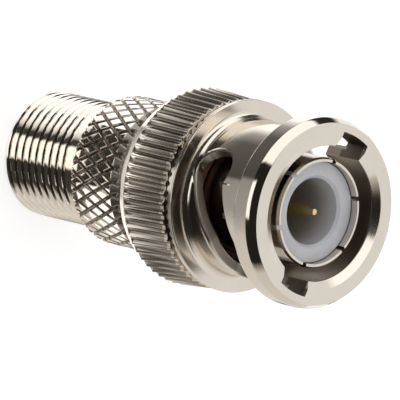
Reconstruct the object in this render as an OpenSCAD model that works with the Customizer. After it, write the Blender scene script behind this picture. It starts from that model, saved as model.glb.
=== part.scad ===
// Coaxial adapter: a bayonet plug at one end, a threaded jack at the other.
// It stands on the jack's end face, with Z along the shared axis towards the plug's mouth.

/* [Threaded jack] */
// Outside diameter of the screw thread
thread_d = 9.525; // [9.3:0.025:9.8]
// Length of the threaded barrel
thread_len = 8.9; // [7:0.1:12]
// Chamfer at the barrel's open end
thread_chamfer = 0.35; // [0.1:0.05:0.5]
// Threads in 25.4 mm
thread_rate = 32; // [28:1:36]
// Depth of the valleys between threads
thread_depth = 0.25; // [0.1:0.05:0.3]
// Width of those valleys
thread_valley = 0.32; // [0.2:0.02:0.4]
// Length of the plain collar between the thread and the grip
thread_collar = 2.1; // [1.5:0.1:3]
// Diameter of the jack's insulator
jack_insulator_d = 6.4; // [6.2:0.1:6.8]
// Radial width of the lip that holds the insulator at the barrel's end
jack_lip_w = 0.3; // [0.15:0.05:0.5]
// Thickness of that lip
jack_lip = 0.6; // [0.4:0.1:1.2]
// Length of the jack's insulator
jack_insulator_len = 9; // [8:0.1:10]
// Diameter of the wire hole in the jack's insulator
wire_entry_d = 2.6; // [2.4:0.1:3]

/* [Jack contact] */
// Outside diameter of the socket contact
socket_d = 2; // [1.8:0.1:2.2]
// Diameter of the hole that takes the cable's centre wire
socket_bore_d = 1; // [0.8:0.05:1.2]
// Depth of that hole
socket_bore_len = 5.2; // [4:0.1:5.6]
// Distance from the insulator's end to the contact
socket_setback = 0.5; // [0.2:0.1:1]
// Width of the cuts that let the contact spring
socket_cut = 0.2; // [0.1:0.02:0.24]
// Length of those cuts
socket_cut_len = 4; // [2:0.1:4.4]

/* [Knurled grip] */
// Diameter over the diamonds
grip_d = 11.3; // [11:0.1:12]
// Length of the grip
grip_len = 5.5; // [4.5:0.1:8]
// Diamonds in one ring
grip_count = 34; // [24:1:36]
// Distance along the axis between diamonds in one line
grip_pitch = 1.95; // [1.6:0.05:2.6]
// Depth of the grooves
grip_depth = 0.3; // [0.15:0.05:0.4]
// Width of the grooves
grip_groove = 0.3; // [0.2:0.02:0.4]
// Chamfer at the grip's rear end
grip_rear_chamfer = 0.1; // [0.05:0.05:0.4]
// Length of the cone at the grip's front end
grip_cone_len = 1; // [0.5:0.1:1.5]
// Fall in radius along that cone
grip_cone_drop = 0.6; // [0.4:0.05:0.6]

/* [Neck and contact shell] */
// Wall of the body's neck round the contact shell's tail
neck_wall = 0.58; // [0.4:0.02:0.7]
// Radial clearance between the spring fingers and the insulator
finger_gap = 0.18; // [0.1:0.01:0.25]
// Wall of the spring fingers
finger_wall = 0.32; // [0.25:0.01:0.4]
// Length of the shell in front of its flange
finger_len = 9.8; // [9:0.1:11]
// Number of spring fingers
finger_count = 6; // [4:1:8]
// Width of the cuts between the fingers
finger_cut = 0.36; // [0.2:0.02:0.6]
// Length of those cuts
finger_cut_len = 6; // [4:0.1:7]
// Angle of the first cut, in degrees
finger_angle = 8; // [0:1:59]
// Lead-in at the fingers' tips
finger_lead = 0.12; // [0.05:0.01:0.15]
// Radial clearance between the shell's flange and the nut's chamber
flange_gap = 0.35; // [0.25:0.05:0.5]
// Thickness of the flange
flange_t = 1; // [0.8:0.1:1.4]
// Wall of the shell's tail, which is pressed into the neck
tail_wall = 0.33; // [0.25:0.01:0.45]
// Length of that tail
tail_len = 2.6; // [2:0.1:4]

/* [Plug contact and insulator] */
// Diameter of the plug's insulator
insulator_d = 7.1; // [6.9:0.05:7.2]
// Distance of the insulator's front behind the finger tips
insulator_setback = 0.6; // [0.3:0.1:1.5]
// Diameter of the insulator's wide bore
insulator_bore_d = 4.9; // [4.7:0.05:5.2]
// Depth of that bore
insulator_bore_len = 7.4; // [6.5:0.1:8]
// Lead-in at the bore's edge
insulator_lead = 0.22; // [0.1:0.02:0.3]
// Diameter of the contact pin
pin_d = 1.35; // [1.32:0.01:1.4]
// Distance of the pin's tip behind the finger tips
pin_setback = 0.45; // [0.2:0.05:1]
// Length of the pin's taper
pin_taper_len = 3.2; // [2:0.1:4]
// Diameter of the pin's tip
pin_tip_d = 0.4; // [0.2:0.05:0.6]
// Diameter of the pin's stem inside the insulator
stem_d = 2; // [1.9:0.05:2.4]
// Diameter of the pin's tail inside the socket contact
pin_tail_d = 0.96; // [0.8:0.02:1]
// Length of that tail
pin_tail_len = 2.2; // [1.5:0.1:2.4]

/* [Gasket] */
// Radial width of the gasket
gasket_w = 0.68; // [0.6:0.02:0.8]
// Thickness of the gasket
gasket_t = 1.7; // [1:0.1:2.2]
// Rounding of the gasket's front edges
gasket_round = 0.2; // [0.1:0.02:0.3]

/* [Coupling nut] */
// Distance between the grip and the nut
nut_gap = 1.4; // [1:0.1:2]
// Length of the nut
nut_len = 14.75; // [14:0.05:16]
// Wall of the plain band at the nut's rear, outside the retaining ring's groove
band_wall = 0.45; // [0.35:0.05:0.6]
// Width of that band
band_w = 0.8; // [0.5:0.1:1.2]
// Height of the knurl's ridges above the band
knurl_rise = 0.6; // [0.4:0.05:0.8]
// Length of the knurl
knurl_len = 4.5; // [3.5:0.1:4.8]
// Ridges round the nut
knurl_count = 60; // [40:1:64]
// Depth of the knurl
knurl_depth = 0.3; // [0.15:0.05:0.4]
// Length of the chamfer at the knurl's front
knurl_chamfer = 0.4; // [0.2:0.05:0.6]
// Width of the groove between the knurl and the plain step
relief_w = 0.3; // [0.2:0.05:0.5]
// Height of the plain step in front of the knurl above the sleeve
step_rise = 1.35; // [1.2:0.05:1.4]
// Length of that step
step_len = 0.55; // [0.3:0.05:0.8]
// Wall of the slotted sleeve
sleeve_wall = 0.85; // [0.7:0.05:1]
// Radius of the fillet between the step and the sleeve
sleeve_fillet = 0.55; // [0.2:0.05:0.8]
// Height of the front rim above the sleeve
rim_rise = 1.2; // [0.9:0.05:1.3]
// Length of the front rim
rim_len = 2.1; // [1.8:0.05:2.4]
// Length of the bevel round the rim's front
bevel_len = 0.6; // [0.3:0.05:0.8]
// Fall in radius along that bevel
bevel_drop = 0.35; // [0.2:0.05:0.5]
// Small chamfer on the nut's other edges
edge = 0.12; // [0.05:0.01:0.2]
// Radial clearance between the gasket and the nut's bore
bore_gap = 0.2; // [0.1:0.02:0.3]
// Radial width of the lead-in at the mouth
lead_w = 0.65; // [0.3:0.05:0.7]
// Depth of that lead-in
lead_len = 0.3; // [0.2:0.05:0.6]

/* [Cam slots] */
// Width of the slots
slot_w = 2.7; // [2.2:0.05:2.8]
// Angle of the first entry notch, in degrees
slot_angle = 239; // [180:1:300]
// Angle that a slot sweeps, in degrees
slot_sweep = 91; // [80:1:100]
// Part of that angle, next to the entry notch, that runs level, in degrees
slot_level = 38; // [20:1:45]
// Distance from the nut's face to the middle of that level part
slot_entry = 5.15; // [4.8:0.05:5.4]
// Distance along the axis that the ramp draws the lug in
slot_drop = 1.75; // [1.4:0.05:2]
// Diameter of the round pocket at the ramp's end
pocket_d = 3.2; // [2.9:0.05:3.2]
// Distance of the pocket from the nut's face
pocket_depth = 6.5; // [6:0.05:6.6]
// Depth of the two entry notches past the sleeve's outside
notch_rise = 0.3; // [0.1:0.05:0.5]

/* [Spring stack] */
// Distance from the nut's rear to the retaining ring's groove
ring_setback = 0.65; // [0.4:0.05:1]
// Thickness of the retaining ring
ring_t = 0.6; // [0.4:0.05:0.8]
// Depth of the retaining ring's groove in the chamber's wall
groove_depth = 0.4; // [0.2:0.05:0.5]
// Opening of the retaining ring, in degrees
ring_opening = 28; // [15:1:60]
// Radial width of the retaining ring
ring_width = 1.4; // [1.2:0.05:1.5]
// Radial width of the washers
washer_w = 1.05; // [0.9:0.05:1.2]
// Thickness of the thrust washer
washer_t = 0.45; // [0.3:0.05:0.6]
// Height of the pair of wave washers
wave_h = 1.6; // [1.2:0.05:2]
// Thickness of one wave washer
wave_t = 0.25; // [0.15:0.01:0.3]
// Waves round a wave washer
wave_count = 3; // [3:1:5]

/* [Clearances] */
// Radial clearance of a pressed piece
press_gap = 0.02; // [0.01:0.005:0.03]
// Clearance between pieces that turn or slide on each other's faces
face_gap = 0.05; // [0.02:0.01:0.08]
// Radial clearance of the washers round the neck and inside the chamber
washer_gap = 0.2; // [0.15:0.01:0.25]

/* [Hidden] */
$fn = 96;
// Cutting tools run past the faces that they cut by this much
over = 1;
// Straight stretches that stand for a slot's ramp
ramp_steps = 7;
// Straight sides in the outline that cuts its level part
level_steps = 5;
// Neighbouring stretches overlap by this share of their length
stretch_lap = 0.08;
// Degrees that a slot's level part runs on past the top of the ramp, so that no sliver is left there
bend_lap = 4;
// Steps round a wave washer
wave_steps = 72;
// Steps in a quarter round
round_steps = 6;

thread_pitch = 25.4 / thread_rate;
jack_mouth_d = jack_insulator_d - 2 * jack_lip_w;
finger_d = insulator_d + 2 * (finger_gap + finger_wall);
tail_d = insulator_d + 2 * (press_gap + tail_wall);
neck_d = tail_d + 2 * (press_gap + neck_wall);
gasket_d = finger_d + 2 * (press_gap + gasket_w);
bore_d = gasket_d + 2 * bore_gap;
chamber_d = neck_d + 2 * washer_w + 4 * washer_gap;
flange_d = chamber_d - 2 * flange_gap;
band_d = chamber_d + 2 * (groove_depth + band_wall);
knurl_d = band_d + 2 * knurl_rise;
sleeve_d = bore_d + 2 * sleeve_wall;
step_d = sleeve_d + 2 * step_rise;
rim_d = sleeve_d + 2 * rim_rise;
notch_d = sleeve_d + 2 * notch_rise;
lead_d = bore_d + 2 * lead_w;

grip_z = thread_len;
neck_z = grip_z + grip_len;
nut_z = neck_z + nut_gap;
groove_z = nut_z + ring_setback;
groove_w = ring_t + face_gap;
washer_z = groove_z + groove_w + face_gap;
wave_z = washer_z + washer_t;
flange_z = wave_z + wave_h;
seat_z = flange_z + flange_t;
shoulder_z = seat_z + face_gap;
finger_z = seat_z + finger_len;
tail_z = flange_z - tail_len;
jack_insulator_z = jack_lip;
insulator_z = jack_insulator_z + jack_insulator_len;
insulator_front_z = finger_z - insulator_setback;
insulator_bore_z = insulator_front_z - insulator_bore_len;
socket_z = jack_insulator_z + socket_setback;
pin_tip_z = finger_z - pin_setback;

knurl_z = nut_z + band_w;
knurl_front_z = knurl_z + knurl_len;
step_z = knurl_front_z + relief_w + step_len;
face_z = nut_z + nut_len;
rim_z = face_z - rim_len;
entry_z = face_z - slot_entry;
slot_root = bore_d / 2 - over;
slot_reach = rim_d / 2 - slot_root;

nickel = [0.80, 0.77, 0.72];
spring_steel = [0.62, 0.60, 0.57];
gold = [0.83, 0.66, 0.30];
bronze = [0.72, 0.53, 0.33];
white_plastic = [0.88, 0.89, 0.91];
red_rubber = [0.36, 0.13, 0.10];

// Points of a round stretch in a revolved outline, from one angle to another
function round_points(r, z, radius, from, to) =
    [for (i = [0:round_steps])
        let (a = from + (to - from) * i / round_steps)
        [r + radius * cos(a), z + radius * sin(a)]];

// A ring with square edges, standing on its height
module ring(outer_d, inner_d, height) {
    difference() {
        cylinder(d = outer_d, h = height);
        translate([0, 0, -over]) cylinder(d = inner_d, h = height + 2 * over);
    }
}

// One raised diamond, pointing along X, long enough to be trimmed by the grip's outline
module diamond() {
    half_w = PI * grip_d / grip_count / 2;
    half_h = grip_pitch / 2;
    inset = 1 - grip_groove / 2 * norm([half_w, half_h]) / (half_w * half_h);
    root = grip_d / 2 - 2 * grip_depth;
    translate([root, 0, 0])
        rotate([90, 0, 90])
            linear_extrude(3 * grip_depth)
                polygon(inset * [[-half_w, 0], [0, -half_h], [half_w, 0], [0, half_h]]);
}

// Diamonds in staggered rings, trimmed to the grip's outline with its two end chamfers
module grip() {
    r = grip_d / 2;
    // The first whole row lies this share of a row past the rear end
    grip_shift = 0.68;
    rows = floor((2 * grip_len - grip_cone_len) / grip_pitch - grip_shift);
    intersection() {
        rotate_extrude()
            polygon([[0, grip_z], [r - grip_rear_chamfer, grip_z], [r, grip_z + grip_rear_chamfer],
                     [r, neck_z - grip_cone_len], [r - grip_cone_drop, neck_z], [0, neck_z]]);
        union() {
            translate([0, 0, grip_z - over]) cylinder(r = r - grip_depth, h = grip_len + 2 * over);
            for (row = [-1:rows], i = [0:grip_count - 1])
                rotate((i + row % 2 / 2) * 360 / grip_count)
                    translate([0, 0, grip_z + (row + grip_shift) * grip_pitch / 2])
                        diamond();
        }
    }
}

// Barrel with its thread as rings one pitch apart, each valley a V, and a plain collar behind them
module threaded_barrel() {
    r = thread_d / 2;
    turns = floor((thread_len - thread_collar - thread_chamfer) / thread_pitch);
    rotate_extrude()
        polygon(concat(
            [[0, 0], [r - thread_chamfer, 0], [r, thread_chamfer]],
            [for (i = [1:turns])
                let (z = thread_chamfer + i * thread_pitch)
                each [[r, z - thread_valley], [r - thread_depth, z - thread_valley / 2], [r, z]]],
            [[r, grip_z], [0, grip_z]]));
}

// Turned body: threaded barrel, knurled grip, and the neck that carries the plug
module jack_body() {
    color(nickel) difference() {
        union() {
            threaded_barrel();
            grip();
            translate([0, 0, neck_z]) cylinder(d = neck_d, h = flange_z - neck_z);
        }
        translate([0, 0, -over]) cylinder(d = jack_mouth_d, h = jack_lip + 2 * over);
        translate([0, 0, jack_insulator_z])
            cylinder(d = jack_insulator_d + 2 * press_gap, h = jack_insulator_len);
        translate([0, 0, insulator_z])
            cylinder(d = insulator_d + 2 * press_gap, h = flange_z + over - insulator_z);
        translate([0, 0, tail_z])
            cylinder(d = tail_d + 2 * press_gap, h = tail_len + over);
    }
}

// Insulating sleeve in the threaded barrel, wider at its open end for the wire
module jack_insulator() {
    r = jack_insulator_d / 2;
    hole_r = socket_d / 2 + press_gap;
    entry_r = wire_entry_d / 2;
    color(white_plastic) rotate_extrude()
        polygon([[entry_r, jack_insulator_z], [r, jack_insulator_z], [r, insulator_z], [hole_r, insulator_z],
                 [hole_r, socket_z + entry_r - hole_r], [entry_r, socket_z]]);
}

// Socket for the cable's centre wire, cut crosswise so that it springs
module socket_contact() {
    len = insulator_z - socket_z;
    color(bronze) translate([0, 0, socket_z]) difference() {
        cylinder(d = socket_d, h = len);
        translate([0, 0, -over]) cylinder(d = socket_bore_d, h = socket_bore_len + over);
        translate([-socket_d / 2 - over, -socket_cut / 2, -over])
            cube([socket_d + 2 * over, socket_cut, socket_cut_len + over]);
        translate([0, 0, len - pin_tail_len - face_gap])
            cylinder(d = pin_tail_d + 2 * press_gap, h = pin_tail_len + over);
    }
}

// Contact pin: tail in the socket, stem in the insulator, and a tapered point at the plug's mouth
module contact_pin() {
    tip_r = pin_tip_d / 2;
    color(gold) rotate_extrude()
        polygon(concat(
            [[0, insulator_z - pin_tail_len], [pin_tail_d / 2, insulator_z - pin_tail_len],
             [pin_tail_d / 2, insulator_z], [stem_d / 2, insulator_z], [stem_d / 2, insulator_bore_z],
             [pin_d / 2, insulator_bore_z], [pin_d / 2, pin_tip_z - pin_taper_len]],
            round_points(0, pin_tip_z - tip_r, tip_r, 0, 90)));
}

// Plug insulator: a sleeve round the pin's stem, opening into a wide bore round its point
module plug_insulator() {
    r = insulator_d / 2;
    hole_r = stem_d / 2 + press_gap;
    bore_r = insulator_bore_d / 2;
    color(white_plastic) rotate_extrude()
        polygon([[hole_r, insulator_z], [r, insulator_z], [r, insulator_front_z],
                 [bore_r + insulator_lead, insulator_front_z], [bore_r, insulator_front_z - insulator_lead],
                 [bore_r, insulator_bore_z], [hole_r, insulator_bore_z]]);
}

// Outer contact: spring fingers in front of a flange, with a tail that is pressed into the neck
module finger_shell() {
    r = finger_d / 2;
    sleeve_r = insulator_d / 2 + press_gap;
    cut_z = finger_z - finger_cut_len;
    // The bore is wider over the whole length of the cuts and a little past them
    wide_z = cut_z - finger_wall;
    color(nickel) difference() {
        rotate_extrude()
            polygon([[sleeve_r, tail_z], [tail_d / 2, tail_z], [tail_d / 2, flange_z], [flange_d / 2, flange_z],
                     [flange_d / 2, seat_z], [r, seat_z], [r, finger_z - 2 * finger_lead],
                     [r - finger_lead, finger_z], [r - finger_wall, finger_z],
                     [r - finger_wall, wide_z], [sleeve_r, wide_z]]);
        for (i = [0:finger_count - 1])
            rotate(finger_angle + i * 360 / finger_count)
                translate([insulator_d / 2 - over, -finger_cut / 2, cut_z])
                    cube([r - insulator_d / 2 + 2 * over, finger_cut, finger_cut_len + over]);
    }
}

// Rubber ring at the root of the fingers, which the mating barrel presses on
module gasket() {
    inner_r = finger_d / 2 + press_gap;
    outer_r = gasket_d / 2;
    front_z = seat_z + gasket_t;
    color(red_rubber) rotate_extrude()
        polygon(concat(
            [[inner_r, seat_z], [outer_r, seat_z]],
            round_points(outer_r - gasket_round, front_z - gasket_round, gasket_round, 0, 90),
            round_points(inner_r + gasket_round, front_z - gasket_round, gasket_round, 90, 180)));
}

// One wave washer: a thin ring whose height follows a cosine round the axis
module wave_washer() {
    inner_r = neck_d / 2 + washer_gap;
    outer_r = chamber_d / 2 - washer_gap;
    rise = wave_h / 2 - wave_t - face_gap;
    corners = [[inner_r, 0], [outer_r, 0], [outer_r, wave_t], [inner_r, wave_t]];
    points = [for (i = [0:wave_steps - 1])
        let (a = 360 * i / wave_steps, lift = rise * (1 - cos(wave_count * a)) / 2)
        for (c = corners) [c.x * cos(a), c.x * sin(a), c.y + lift]];
    faces = [for (i = [0:wave_steps - 1], k = [0:3])
        let (j = (i + 1) % wave_steps, n = (k + 1) % 4)
        for (f = [[4 * i + k, 4 * i + n, 4 * j + k], [4 * i + n, 4 * j + n, 4 * j + k]]) f];
    polyhedron(points, faces);
}

// Two wave washers, crest to crest, that press the nut back
module wave_washers() {
    color(spring_steel) {
        translate([0, 0, wave_z + face_gap / 2]) wave_washer();
        translate([0, 0, flange_z - face_gap / 2]) rotate([180, 0, 0]) wave_washer();
    }
}

// Flat ring between the wave washers and the retaining ring
module thrust_washer() {
    color(spring_steel) translate([0, 0, washer_z])
        ring(chamber_d - 2 * washer_gap, neck_d + 2 * washer_gap, washer_t);
}

// Split ring in the chamber's groove, which keeps the nut on the body
module retaining_ring() {
    outer_d = chamber_d + 2 * groove_depth - 2 * face_gap;
    reach = outer_d;
    half = ring_opening / 2;
    color(spring_steel) translate([0, 0, groove_z + face_gap / 2]) difference() {
        ring(outer_d, outer_d - 2 * ring_width, ring_t);
        translate([0, 0, -over])
            linear_extrude(ring_t + 2 * over)
                polygon([[0, 0], reach * [cos(half), sin(half)], reach * [cos(half), -sin(half)]]);
    }
}

// Straight knurl: a toothed outline drawn along the axis, trimmed to a chamfered ring
module knurl() {
    r = knurl_d / 2;
    root_r = r - knurl_depth;
    pitch = 360 / knurl_count;
    // Places of a tooth's corners, as shares of one pitch
    tooth = [[0.00, root_r], [0.22, root_r], [0.46, r], [0.76, r]];
    intersection() {
        translate([0, 0, knurl_z]) linear_extrude(knurl_len)
            polygon([for (i = [0:knurl_count - 1], c = tooth)
                let (a = (i + c[0]) * pitch) c[1] * [cos(a), sin(a)]]);
        rotate_extrude()
            polygon([[0, knurl_z], [r - edge, knurl_z], [r, knurl_z + edge],
                     [r, knurl_front_z - knurl_chamfer], [step_d / 2, knurl_front_z], [0, knurl_front_z]]);
    }
}

// Height of a lug's path on the ramp, at an angle past the notch
function ramp_z(angle) =
    entry_z - slot_drop * (angle - slot_level) / (slot_sweep - slot_level);

// Straight stretch of the ramp between two angles past the notch
module ramp_stretch(from, to) {
    run = sleeve_d * sin((to - from) / 2);
    fall = ramp_z(from) - ramp_z(to);
    len = norm([run, fall]) * (1 + stretch_lap);
    rotate(-(from + to) / 2)
        translate([slot_root, 0, ramp_z(to) + fall / 2])
            rotate([atan2(fall, run), 0, 0])
                translate([0, -len / 2, -slot_w / 2])
                    cube([slot_reach, len, slot_w]);
}

// Round hole through the sleeve at the ramp's end
module slot_round(z, d) {
    rotate(-slot_sweep) translate([slot_root, 0, z]) rotate([0, 90, 0]) cylinder(d = d, h = slot_reach);
}

// Path of one mating lug: straight in at the notch, level, down the ramp, and into the round pocket
module cam_slot() {
    ramp_angle = (slot_sweep - slot_level) / ramp_steps;
    notch_z = entry_z - slot_w / 2 - face_gap;
    notch_len = face_z + over - notch_z;
    intersection() {
        translate([slot_root, -slot_w / 2, notch_z]) cube([slot_reach, slot_w, notch_len]);
        translate([0, 0, notch_z]) cylinder(d = notch_d, h = notch_len);
    }
    translate([0, 0, entry_z - slot_w / 2]) linear_extrude(slot_w)
        polygon(concat([[0, 0]], [for (i = [0:level_steps])
            let (a = -(slot_level + bend_lap) * i / level_steps)
            rim_d / 2 * [cos(a), sin(a)]]));
    for (i = [0:ramp_steps - 1])
        ramp_stretch(slot_level + i * ramp_angle, slot_level + (i + 1) * ramp_angle);
    slot_round(ramp_z(slot_sweep), slot_w);
    slot_round(face_z - pocket_depth, pocket_d);
}

// Knurled nut with two cam slots in its sleeve and a bevelled rim at its mouth
module coupling_nut() {
    band_r = band_d / 2;
    step_r = step_d / 2;
    sleeve_r = sleeve_d / 2;
    rim_r = rim_d / 2;
    chamber_r = chamber_d / 2;
    groove_r = chamber_r + groove_depth;
    color(nickel) difference() {
        union() {
            rotate_extrude()
                polygon(concat(
                    [[0, nut_z], [band_r - edge, nut_z], [band_r, nut_z + edge],
                     [band_r, step_z - step_len], [step_r, step_z - step_len],
                     [step_r, step_z - edge], [step_r - edge, step_z]],
                    round_points(sleeve_r + sleeve_fillet, step_z + sleeve_fillet, sleeve_fillet, 270, 180),
                    [[sleeve_r, rim_z], [rim_r - edge, rim_z], [rim_r, rim_z + edge],
                     [rim_r, face_z - bevel_len], [rim_r - bevel_drop, face_z], [0, face_z]]));
            knurl();
        }
        rotate_extrude()
            polygon([[0, nut_z - over], [chamber_r, nut_z - over], [chamber_r, groove_z], [groove_r, groove_z],
                     [groove_r, groove_z + groove_w], [chamber_r, groove_z + groove_w],
                     [chamber_r, shoulder_z], [bore_d / 2, shoulder_z], [bore_d / 2, face_z - lead_len],
                     [lead_d / 2, face_z], [lead_d / 2, face_z + over], [0, face_z + over]]);
        for (turn = [0, 180])
            rotate(slot_angle + turn) cam_slot();
    }
}

jack_body();
jack_insulator();
socket_contact();
contact_pin();
plug_insulator();
finger_shell();
gasket();
wave_washers();
thrust_washer();
coupling_nut();
retaining_ring();
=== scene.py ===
"""Looks of a coaxial adapter: a threaded jack at the foot and a bayonet plug at the top.

Each turned piece is a profile in (r, z) carried round the axis on a numpy grid, so its surface is a
function of the place along the profile and of the angle. Lengths are in millimetres until a mesh is made.
"""
import math

import bmesh
import bpy
import numpy as np
from mathutils import Matrix


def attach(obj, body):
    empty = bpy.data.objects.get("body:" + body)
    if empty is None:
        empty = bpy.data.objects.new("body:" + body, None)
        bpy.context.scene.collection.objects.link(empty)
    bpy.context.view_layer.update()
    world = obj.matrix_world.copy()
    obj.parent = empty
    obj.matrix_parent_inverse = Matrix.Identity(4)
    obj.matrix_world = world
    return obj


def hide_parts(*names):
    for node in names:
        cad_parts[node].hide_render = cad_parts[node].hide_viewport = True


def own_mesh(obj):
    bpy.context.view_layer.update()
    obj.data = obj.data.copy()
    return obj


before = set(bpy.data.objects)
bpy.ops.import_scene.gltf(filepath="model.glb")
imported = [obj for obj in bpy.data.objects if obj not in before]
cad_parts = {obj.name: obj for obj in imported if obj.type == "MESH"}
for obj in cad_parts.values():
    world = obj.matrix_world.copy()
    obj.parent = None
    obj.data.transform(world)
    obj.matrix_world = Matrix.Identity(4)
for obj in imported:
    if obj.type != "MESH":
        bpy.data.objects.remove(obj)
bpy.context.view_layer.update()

MM = 0.001
TAU = 2 * math.pi

# Heights above the jack's end face that several pieces share, in millimetres
LIP_Z = 0.6  # inside of the lip that holds the jack's insulator
SOCKET_Z = 1.1  # mouth of the wire socket
GRIP_Z = 8.9  # rear of the grip
MEET_Z = 9.6  # plane where the jack's and the plug's inner pieces meet
CONE_Z = 13.4  # start of the cone at the grip's front
NECK_Z = 14.4  # front of the grip
NUT_Z = 15.8  # rear of the nut
KNURL_Z, KNURL_END = 16.6, 20.95  # rear and front of the straight knurl
TAIL_Z = 16.6  # rear of the finger shell
WASHER_Z, WAVE_Z = 17.15, 17.6  # flat washer, then the pair of wave washers on it
FLANGE_Z, SEAT_Z = 19.2, 20.2  # rear and front of the finger shell's flange
CHAMBER_Z = 20.25  # front of the nut's chamber
STEP_Z = 21.95  # front of the plain step
BORE_END_Z = 22.0  # bottom of the plug insulator's wide bore
ENTRY_Z = 25.4  # middle of the cam slots' level part
RIM_Z, FACE_Z = 28.45, 30.55  # rear and front of the rim
INSULATOR_Z = 29.4  # front of the plug's insulator
FINGER_Z = 30.0  # tips of the fingers

# Radii that several pieces or finishes share, in millimetres
WIRE_R, SOCKET_R, STEM_R = 0.5, 1.0, 1.0
STEM_BORE_R = 1.02
JACK_LIP_R, JACK_BORE_R = 2.9, 3.22
WALL_R = 4.0  # within the barrel's wall: what lies further out carries the thread
PLUG_BORE_R = 3.57  # hole for the plug's insulator, in the body and in the finger shell
TAIL_BORE_R = 3.92  # hole for the finger shell's tail
FINGER_R = 4.05
NECK_R = 4.5
THREAD_R, GRIP_R = 4.7625, 5.65
WASHER_IN_R, WASHER_OUT_R = 4.7, 5.75
BORE_R, CHAMBER_R, GROOVE_R = 4.95, 5.95, 6.35  # inside of the nut
BAND_R, KNURL_R, STEP_R, SLEEVE_R, RIM_R = 6.8, 7.395, 7.15, 5.8, 7.0  # outside of the nut
NOTCH_R = 6.1

# Screw thread: its place on the barrel is set by one crest's height at one angle
PITCH, THREAD_START, THREAD_TURN, THREAD_END = 0.79375, 1.03, math.radians(163), 7.15
THREAD_DEPTH, THREAD_FLAT, THREAD_CROWN, THREAD_FADE = 0.25, 0.3, 0.015, 0.25
INSET = 0.005  # keeps the crests inside the CAD's barrel

# Diamond knurl: count round the grip and pitch along it, then the place of a top's edge and of a groove's root
GRIP_COUNT, GRIP_PITCH, GRIP_START, GRIP_DEPTH = 34, 1.95, 9.563, 0.24
GRIP_TOP, GRIP_ROOT, GRIP_DOME = 0.345, 0.48, 0.05

# Straight knurl: ridges round the nut, their depth, the first one's place in pitches, and their noses' length
KNURL_COUNT, KNURL_DEPTH, KNURL_PHASE, NOSE = 60, 0.3, 0.61, 0.36

# Cam slots: angle of the first notch, spans of the level part and of the whole slot, then half width, drop
# along the ramp, and the pocket that the lug rests in
SLOT_TURN, SLOT_LEVEL, SLOT_SWEEP = math.radians(239), math.radians(38), math.radians(91)
SLOT_HALF, SLOT_DROP, POCKET_R, POCKET_Z = 1.35, 1.75, 1.6, FACE_Z - 6.5
CUT_R, CUT_END_R = 4.2, 7.6  # the cutting tools reach from inside the bore to outside the knurl


# shapes

def smooth(low, high, x):
    """Rises from 0 at low to 1 at high along 3t^2 - 2t^3."""
    t = np.clip((x - low) / (high - low), 0, 1)
    return t * t * (3 - 2 * t)


def outline(corners, steps=5, hold=0.03):
    """Closed (r, z) outline from rows of (r, z, rounding).

    Each corner becomes an arc tangent to its two sides: the arc's centre lies on the bisector at
    rounding / sin(half angle). A point close to each end of the arc keeps the flat sides flat when shaded.
    """
    c = np.array(corners, float)
    p, radius = c[:, :2], c[:, 2]
    back, ahead = np.roll(p, 1, 0) - p, np.roll(p, -1, 0) - p
    room = np.minimum(np.linalg.norm(back, axis=1), np.linalg.norm(ahead, axis=1))
    u = back / np.linalg.norm(back, axis=1)[:, None]
    v = ahead / np.linalg.norm(ahead, axis=1)[:, None]
    half = np.arccos(np.clip((u * v).sum(1), -1, 1)) / 2
    reach = np.minimum(radius / np.tan(half), 0.45 * room)
    radius = reach * np.tan(half)
    bisector = (u + v) / np.linalg.norm(u + v, axis=1)[:, None]
    centre = p + bisector * (radius / np.sin(half))[:, None]
    first, last = p + u * reach[:, None] - centre, p + v * reach[:, None] - centre
    t = np.linspace(0, 1, steps + 1)[None, :, None]
    turn = (math.pi - 2 * half)[:, None, None]
    arc = (np.sin((1 - t) * turn) * first[:, None] + np.sin(t * turn) * last[:, None]) / np.sin(turn)
    near = np.minimum(hold, 0.2 * room)[:, None]
    rows = np.concatenate([(p + u * reach[:, None] + u * near)[:, None], centre[:, None] + arc,
                           (p + v * reach[:, None] + v * near)[:, None]], axis=1).reshape(-1, 2)
    gap = np.linalg.norm(rows - np.roll(rows, 1, 0), axis=1)
    return rows[gap > 1e-6]


def denser(rows, step, inside):
    """Splits each side of an outline whose middle is inside(r, z) into stretches no longer than step."""
    ahead = np.roll(rows, -1, 0)
    length = np.linalg.norm(ahead - rows, axis=1)
    count = np.where(inside(*((rows + ahead) / 2).T), np.ceil(length / step), 1).astype(int)
    start = np.repeat(np.arange(len(rows)), count)
    share = (np.arange(count.sum()) - np.repeat(np.cumsum(count) - count, count)) / np.repeat(count, count)
    return rows[start] + share[:, None] * (ahead - rows)[start]


def grid_faces(rows, columns, loop_rows=True, loop_columns=True):
    """Corner numbers of a grid's quads; a looped direction joins its last line to its first."""
    r, c = np.meshgrid(np.arange(rows if loop_rows else rows - 1),
                       np.arange(columns if loop_columns else columns - 1), indexing="ij")
    up, on = (r + 1) % rows, (c + 1) % columns
    corners = [r * columns + c, r * columns + on, up * columns + on, up * columns + c]
    return np.stack(corners, -1).reshape(-1, 4)


def about_axis(flat, turn):
    """Rows of (x, y) turned about the axis by an angle."""
    c, s = math.cos(turn), math.sin(turn)
    return flat @ np.array([[c, s], [-s, c]])


def solid(name, points, faces):
    """Mesh object from an (n, 3) array in millimetres and an array of quads, with its doubles merged."""
    mesh = bpy.data.meshes.new(name)
    mesh.from_pydata((points * MM).tolist(), [], faces.tolist())
    whole = bmesh.new()
    whole.from_mesh(mesh)
    bmesh.ops.remove_doubles(whole, verts=whole.verts, dist=1e-8)
    whole.to_mesh(mesh)
    whole.free()
    piece = bpy.data.objects.new(name, mesh)
    bpy.context.scene.collection.objects.link(piece)
    return piece


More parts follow.
